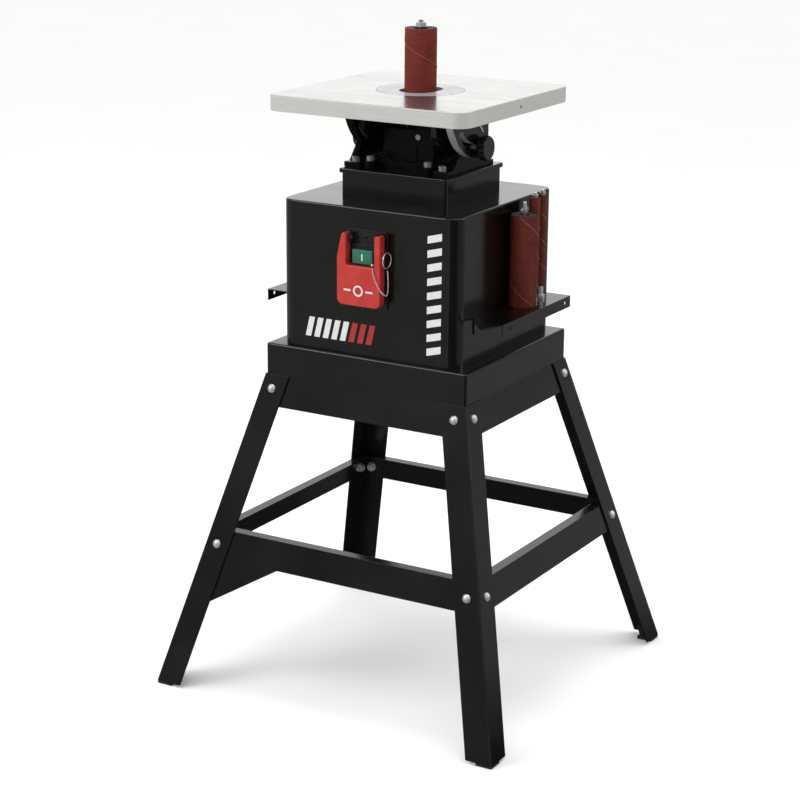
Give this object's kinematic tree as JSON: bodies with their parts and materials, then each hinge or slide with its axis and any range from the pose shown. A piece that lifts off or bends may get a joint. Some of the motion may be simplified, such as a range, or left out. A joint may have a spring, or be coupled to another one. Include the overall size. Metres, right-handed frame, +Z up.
{
  "type": "oscillating spindle sander",
  "caption": "Oscillating spindle sander: black cabinet on a splayed leg stand, square cast tilting table, upright sanding drum, paddle switch and side storage shelves.",
  "frame": {"origin": "on the floor, directly under the spindle axis", "axes": "+Z up along the spindle, +Y away from the operator (the switch is on the -Y face), +X to the operator's right"},
  "size_m": [0.6504, 0.6406, 1.119],
  "materials": {
    "powder_coat": "gloss black powder coat",
    "cast_black": "satin black paint on cast iron",
    "table_iron": "fine machined",
    "insert_steel": "turned face",
    "zinc": "bright zinc plate",
    "black_oxide": "black oxide",
    "abrasive": "aluminium-oxide cloth",
    "rubber": "matt rubber",
    "steel": "ground steel",
    "motor_paint": "satin black paint",
    "pulley_alloy": "machined aluminium",
    "drive_steel": "grey primer",
    "black_plastic": "moulded black plastic",
    "red_plastic": "moulded red plastic",
    "green_plastic": "moulded green plastic",
    "cord": "rubber sheath"
  },
  "bodies": {
    "frame": {"apron_back": "powder_coat", "apron_front": "powder_coat", "apron_left": "powder_coat", "apron_right": "powder_coat", "back_cover": "powder_coat", "bracket_left": "cast_black", "bracket_right": "cast_black", "cabinet_shell": "powder_coat", "drive_belt": "rubber", "drive_frame": "drive_steel", "foot_pads": "rubber", "head_casting": "cast_black", "key_chain": "zinc", "leg_back_left": "powder_coat", "leg_back_right": "powder_coat", "leg_front_left": "powder_coat", "leg_front_right": "powder_coat", "machine_screws": "black_oxide", "motor_housing": "motor_paint", "neck_box": "powder_coat", "neck_flange": "powder_coat", "power_cord": "cord", "rail_back": "powder_coat", "rail_front": "powder_coat", "rail_left": "powder_coat", "rail_right": "powder_coat", "shelf_left": "powder_coat", "shelf_right": "powder_coat", "spare_drum_large": "abrasive", "spare_drum_medium": "abrasive", "spare_drum_small": "abrasive", "stand_bolts": "zinc", "stand_nuts": "zinc", "stand_top": "powder_coat", "storage_nuts": "zinc", "storage_posts": "zinc", "switch_box": "black_plastic", "tilt_studs": "zinc"},
    "table": {"table": "table_iron", "table_insert": "insert_steel", "trunnion_left": "cast_black", "trunnion_right": "cast_black", "trunnion_screws": "black_oxide", "tilt_pointer": "zinc"},
    "quill": {"quill": "steel", "quill_bearings": "steel"},
    "spindle": {"spindle": "steel", "drum_core": "rubber", "sanding_sleeve": "abrasive", "arbor_washers": "black_oxide", "spindle_nut": "zinc"},
    "motor_rotor": {"motor_rotor": "steel", "motor_pulley": "pulley_alloy"},
    "spindle_pulley": {"spindle_pulley": "pulley_alloy"},
    "worm_wheel": {"worm_wheel": "steel"},
    "knob_left": {"knob_left": "black_plastic"},
    "knob_right": {"knob_right": "black_plastic"},
    "stop_paddle": {"stop_paddle": "red_plastic"},
    "start_button": {"start_button": "green_plastic"},
    "lockout_pin": {"lockout_pin": "zinc"}
  },
  "joints": [
    {"name": "table_tilt", "type": "hinge", "parent": "frame", "child": "table", "pos_m": [0, 0, 1], "axis": [1, 0, 0], "range_deg": [0, 45]},
    {"name": "spindle_stroke", "type": "slide", "parent": "frame", "child": "quill", "axis": [0, 0, 1], "range_m": [-0.0127, 0.0127]},
    {"name": "spindle_spin", "type": "hinge", "parent": "quill", "child": "spindle", "pos_m": [0, 0, 0.9], "axis": [0, 0, 1], "continuous": true},
    {"name": "motor_spin", "type": "hinge", "parent": "frame", "child": "motor_rotor", "pos_m": [0, 0.092, 0.67], "axis": [0, 0, 1], "continuous": true},
    {"name": "pulley_spin", "type": "hinge", "parent": "frame", "child": "spindle_pulley", "pos_m": [0, 0, 0.73], "axis": [0, 0, 1], "continuous": true},
    {"name": "worm_wheel_spin", "type": "hinge", "parent": "frame", "child": "worm_wheel", "pos_m": [0, -0.041, 0.72], "axis": [1, 0, 0], "continuous": true},
    {"name": "right_knob_turn", "type": "hinge", "parent": "frame", "child": "knob_right", "pos_m": [0.12, 0, 0.92], "axis": [1, 0, 0], "range_deg": [0, 360]},
    {"name": "left_knob_turn", "type": "hinge", "parent": "frame", "child": "knob_left", "pos_m": [-0.1, 0, 0.92], "axis": [-1, 0, 0], "range_deg": [0, 360]},
    {"name": "stop_paddle_push", "type": "hinge", "parent": "frame", "child": "stop_paddle", "pos_m": [0, -0.18, 0.789], "axis": [1, 0, 0], "range_deg": [0, 2.5]},
    {"name": "start_button_push", "type": "slide", "parent": "frame", "child": "start_button", "axis": [0, 1, 0], "range_m": [0, 0.0035]},
    {"name": "lockout_pin_pull", "type": "slide", "parent": "frame", "child": "lockout_pin", "axis": [0, -1, 0], "range_m": [0, 0.02]}
  ],
  "couplings": [
    {"joint": "spindle_spin", "follows": "motor_spin", "ratio": 1},
    {"joint": "pulley_spin", "follows": "motor_spin", "ratio": 1},
    {"joint": "worm_wheel_spin", "follows": "motor_spin", "ratio": 0.017241}
  ]
}
